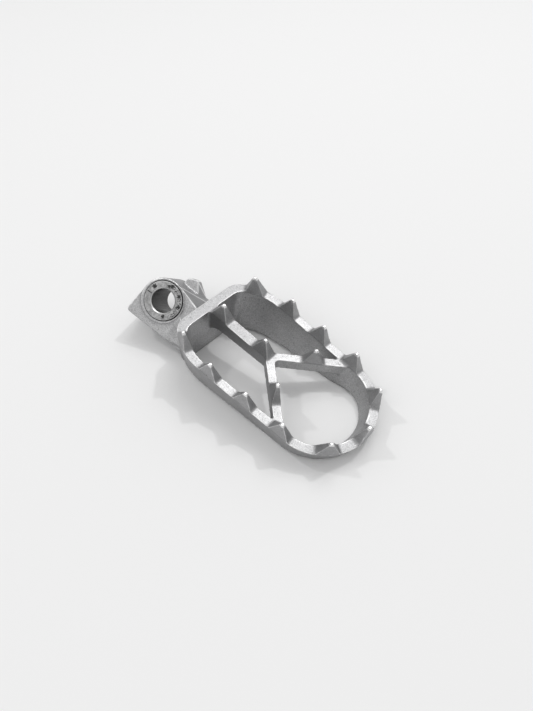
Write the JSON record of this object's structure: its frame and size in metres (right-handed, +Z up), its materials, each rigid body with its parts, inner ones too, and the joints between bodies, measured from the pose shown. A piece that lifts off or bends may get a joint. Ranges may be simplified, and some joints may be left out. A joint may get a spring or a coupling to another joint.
{
  "type": "motorcycle foot peg",
  "caption": "Folding off-road motorcycle foot peg: open toothed loop with a Y-shaped web, slanted pivot boss, stop tab and a pivot sleeve in the bore.",
  "frame": {"origin": "on the bench under the middle of the peg as it lies tread up on its corner feet and its outboard end", "axes": "+X runs outboard along the peg, away from the motorcycle, +Y points to the rear of the motorcycle, +Z is up as the peg lies on a bench"},
  "size_m": [0.118, 0.05, 0.0275],
  "materials": {
    "cast_steel": "as cast and blasted, bare, worn bright on the tips of the teeth",
    "sleeve_steel": "turned, dull, galled on its end face"
  },
  "bodies": {
    "sleeve": {"pivot_collar": "sleeve_steel"},
    "peg": {"outboard_end_wall": "cast_steel", "front_side_wall": "cast_steel", "rear_side_wall": "cast_steel", "front_corner_wall": "cast_steel", "rear_corner_wall": "cast_steel", "inboard_end_plate": "cast_steel", "centre_bar": "cast_steel", "web_hub": "cast_steel", "front_web_arm": "cast_steel", "rear_web_arm": "cast_steel", "tooth_outboard_tip": "cast_steel", "tooth_front_rim_1": "cast_steel", "tooth_front_rim_2": "cast_steel", "tooth_front_rim_3": "cast_steel", "tooth_front_rim_4": "cast_steel", "tooth_front_rim_5": "cast_steel", "tooth_rear_rim_1": "cast_steel", "tooth_rear_rim_2": "cast_steel", "tooth_rear_rim_3": "cast_steel", "tooth_rear_rim_4": "cast_steel", "tooth_rear_rim_5": "cast_steel", "tooth_front_arm": "cast_steel", "tooth_rear_arm": "cast_steel", "tooth_bar_inboard": "cast_steel", "tooth_bar_outboard": "cast_steel", "pivot_boss": "cast_steel", "boss_neck": "cast_steel", "stop_tab": "cast_steel"}
  },
  "joints": [
    {"name": "fold", "type": "hinge", "parent": "sleeve", "child": "peg", "pos_m": [-0.04029, -0.0105, 0.01991], "axis": [0.3538, -0.6601, 0.6627], "range_deg": [0, 75]}
  ]
}
